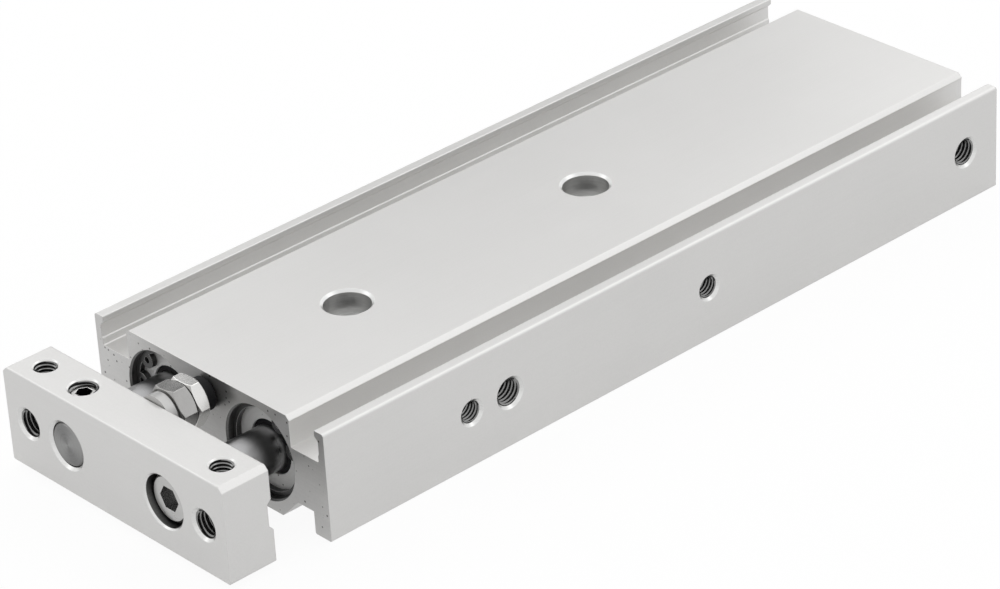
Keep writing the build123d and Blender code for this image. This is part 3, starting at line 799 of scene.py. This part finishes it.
plainFinishes = {
    "piston_rod_right": "rodChrome",
    "port_plug_front": "plugBlackAndSocketShade",
    "port_plug_rear": "plugBlackAndSocketShade",
    "bumper_bolt": "nickel",
    "bumper_lock_nut": "nutNickelShaded",
    "bumper_washer": "washerNickel",
    "bumper_pad": "padRubber",
}
for side in rodX:
    plainFinishes.update({
        "rod_cover_" + side: "coverFace_" + side,
        "head_cover_" + side: "coverFace_" + side,
        "rod_seal_" + side: "sealRubber",
        "rod_cover_oring_" + side: "sealRubber",
        "head_cover_oring_" + side: "sealRubber",
        "piston_seal_" + side: "sealRubber",
        "piston_bumper_" + side: "padRubber",
        "front_circlip_" + side: "springSteel",
        "rear_circlip_" + side: "springSteel",
        "piston_" + side: "cutHole",
        "magnet_" + side: "springSteel",
    })
for node, finish in plainFinishes.items():
    dress(node, finish)
for node, (skin, inside, socket) in screws.items():
    screwMesh = dress(node, skin, inside)
    for index in facesInHoles(screwMesh, {node: socket}):
        screwMesh.polygons[index].material_index = 1
print("CAD nodes dressed")


# thread turns in the holes
threadForms = {
    # radius at the root and at the crest, and pitch, in mm
    "m4": {"root": 1.99, "crest": 1.66, "pitch": 0.7},
    "m5": {"root": 2.49, "crest": 2.10, "pitch": 0.8},
}
threads = {
    # mouth centre, direction into the hole, form, first and last depth in mm, body
    "thread_side_right_front": ((29, -26.8, 10), (-1, 0, 0), "m4", 0.5, 5.9, "housing"),
    "thread_side_right_rear": ((29, 28.2, 10), (-1, 0, 0), "m4", 0.5, 5.9, "housing"),
    "thread_side_left_front": ((-29, -26.8, 10), (1, 0, 0), "m4", 0.5, 5.9, "housing"),
    "thread_side_left_rear": ((-29, 28.2, 10), (1, 0, 0), "m4", 0.5, 5.9, "housing"),
    "thread_port_right_front": ((29, -18.3, 10), (-1, 0, 0), "m5", 0.5, 4.9, "housing"),
    "thread_port_right_rear": ((29, 93.75, 10), (-1, 0, 0), "m5", 0.5, 4.9, "housing"),
    "thread_plate_front_left": ((-22.5, -78, 10), (0, 1, 0), "m5", 0.5, 8.5, "slider"),
    "thread_plate_front_right": ((22.5, -78, 10), (0, 1, 0), "m5", 0.5, 8.5, "slider"),
    "thread_plate_top_left": ((-22.5, -73.3, 19), (0, 0, -1), "m4", 0.25, 5.9, "slider"),
    "thread_plate_top_right": ((22.5, -73.3, 19), (0, 0, -1), "m4", 0.25, 5.9, "slider"),
    "thread_plate_bottom_left": ((-22.5, -73.3, 1), (0, 0, 1), "m4", 0.25, 5.9, "slider"),
    "thread_plate_bottom_right": ((22.5, -73.3, 1), (0, 0, 1), "m4", 0.25, 5.9, "slider"),
    "thread_set_screw": ((-12.5, -73.3, 19), (0, 0, -1), "m5", 0.25, 0.88, "slider"),
}
threadShape = {
    "around": 48, "perPitch": 10,            # steps round the hole and along one pitch
    "crestFlat": 0.14, "rootFlat": 0.22,     # shares of half a pitch
    "wallOver": 0.005,                       # mm past the root to the back of the piece
    "merge": 0.0000005,                      # m
    "sharpAngle": 30,                        # degrees
    "rootFrom": 0.6,                         # share of the way from crest to root where the root's painted shade starts
}


def threadRadius(turn, form, shape):
    # radius of the thread at a place along the pitch, from 0 to 1
    place = abs((turn % 1.0) * 2 - 1)
    rise = (place - shape["rootFlat"]) / (1 - shape["rootFlat"] - shape["crestFlat"])
    return form["root"] + (form["crest"] - form["root"]) * min(max(rise, 0.0), 1.0)


def buildThread(name, mouth, direction, formName, start, end, body):
    # one closed piece: the helical turns between two flat ends, and a plain back inside the wall
    form, shape = threadForms[formName], threadShape
    around, pitch = shape["around"], form["pitch"]
    inward = Vector(direction)
    across = inward.orthogonal().normalized()
    other = inward.cross(across)
    wall = form["root"] + shape["wallOver"]
    rows = int((end - start) / pitch + 2) * shape["perPitch"]
    work = bmesh.new()

    def corner(angle, radius, depth):
        outward = math.cos(angle) * across + math.sin(angle) * other
        return work.verts.new((Vector(mouth) + inward * depth + outward * radius) * mm)

    rings = []
    for row in range(rows + 1):
        ring = []
        for step in range(around + 1):
            angle = 2 * math.pi * step / around
            depth = start + pitch * (row / shape["perPitch"] + step / around - 1)
            depth = min(max(depth, start), end)
            ring.append(corner(angle, threadRadius(depth / pitch - step / around, form, shape), depth))
        rings.append(ring)
    outer = [[corner(2 * math.pi * step / around, wall, depth) for step in range(around + 1)]
             for depth in (end, start)]
    loops = rings + outer + [rings[0]]
    for lower, upper in zip(loops, loops[1:]):
        for step in range(around):
            work.faces.new((lower[step], lower[step + 1], upper[step + 1], upper[step]))
    bmesh.ops.remove_doubles(work, verts=work.verts[:], dist=shape["merge"])
    bmesh.ops.dissolve_degenerate(work, edges=work.edges[:], dist=shape["merge"])
    bmesh.ops.recalc_face_normals(work, faces=work.faces[:])
    for face in work.faces:
        face.smooth = True
    mesh = bpy.data.meshes.new(name)
    work.to_mesh(mesh)
    work.free()
    mesh.set_sharp_from_angle(angle=math.radians(shape["sharpAngle"]))
    mesh.materials.append(finishes["threadCrestPaintedShade"])
    mesh.materials.append(finishes["threadRootPaintedShade"])
    # faces towards the root take the darker finish: painted shade in the thread roots
    share = shape["rootFrom"]
    middle = (form["root"] * share + form["crest"] * (1 - share)) * mm
    for face in mesh.polygons:
        offset = face.center - Vector(mouth) * mm
        if (offset - offset.dot(inward) * inward).length > middle:
            face.material_index = 1
    piece = bpy.data.objects.new(name, mesh)
    bpy.context.collection.objects.link(piece)
    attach(piece, body)


for name, facts in threads.items():
    buildThread(name, *facts)
print("thread turns built:", len(threads))
